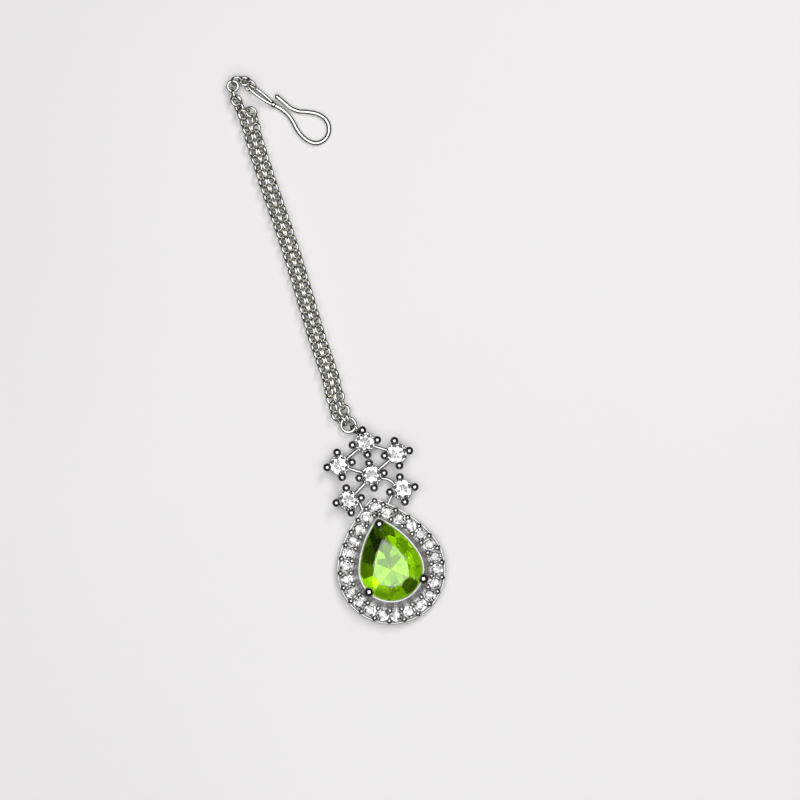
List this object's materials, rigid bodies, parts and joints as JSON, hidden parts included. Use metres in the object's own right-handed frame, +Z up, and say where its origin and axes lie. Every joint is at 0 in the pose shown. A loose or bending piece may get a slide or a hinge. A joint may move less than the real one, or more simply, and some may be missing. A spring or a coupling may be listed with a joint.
{
  "type": "maang tikka",
  "caption": "Forehead jewel with a green pear gem in a halo of round stones, a cluster of prong-set stones, a doubled chain and a hair hook.",
  "frame": {"origin": "middle of the lower face of the bounding box, on the surface the jewel lies on", "axes": "+Y along the jewel from the pendant to the hair hook, +Z up out of the stones' tables, +X to the right seen from above"},
  "size_m": [0.018, 0.0952, 0.0052],
  "materials": {
    "silver_metal": "polished silver-white plating",
    "green_gem": "polished facets, olive green",
    "clear_stone": "polished facets, colourless"
  },
  "bodies": {
    "root": {"pendant_frame": "silver_metal", "chain_left": "silver_metal", "chain_right": "silver_metal", "jump_ring": "silver_metal", "hook_ring": "silver_metal", "hook": "silver_metal", "center_gem": "green_gem", "cluster_stone_1": "clear_stone", "cluster_stone_2": "clear_stone", "cluster_stone_3": "clear_stone", "cluster_stone_4": "clear_stone", "cluster_stone_5": "clear_stone", "cluster_stone_6": "clear_stone", "halo_stone_01": "clear_stone", "halo_stone_02": "clear_stone", "halo_stone_03": "clear_stone", "halo_stone_04": "clear_stone", "halo_stone_05": "clear_stone", "halo_stone_06": "clear_stone", "halo_stone_07": "clear_stone", "halo_stone_08": "clear_stone", "halo_stone_09": "clear_stone", "halo_stone_10": "clear_stone", "halo_stone_11": "clear_stone", "halo_stone_12": "clear_stone", "halo_stone_13": "clear_stone", "halo_stone_14": "clear_stone", "halo_stone_15": "clear_stone", "halo_stone_16": "clear_stone", "halo_stone_17": "clear_stone", "halo_stone_18": "clear_stone", "halo_stone_19": "clear_stone", "halo_stone_20": "clear_stone", "halo_stone_21": "clear_stone", "halo_stone_22": "clear_stone", "halo_stone_23": "clear_stone"}
  },
  "joints": []
}
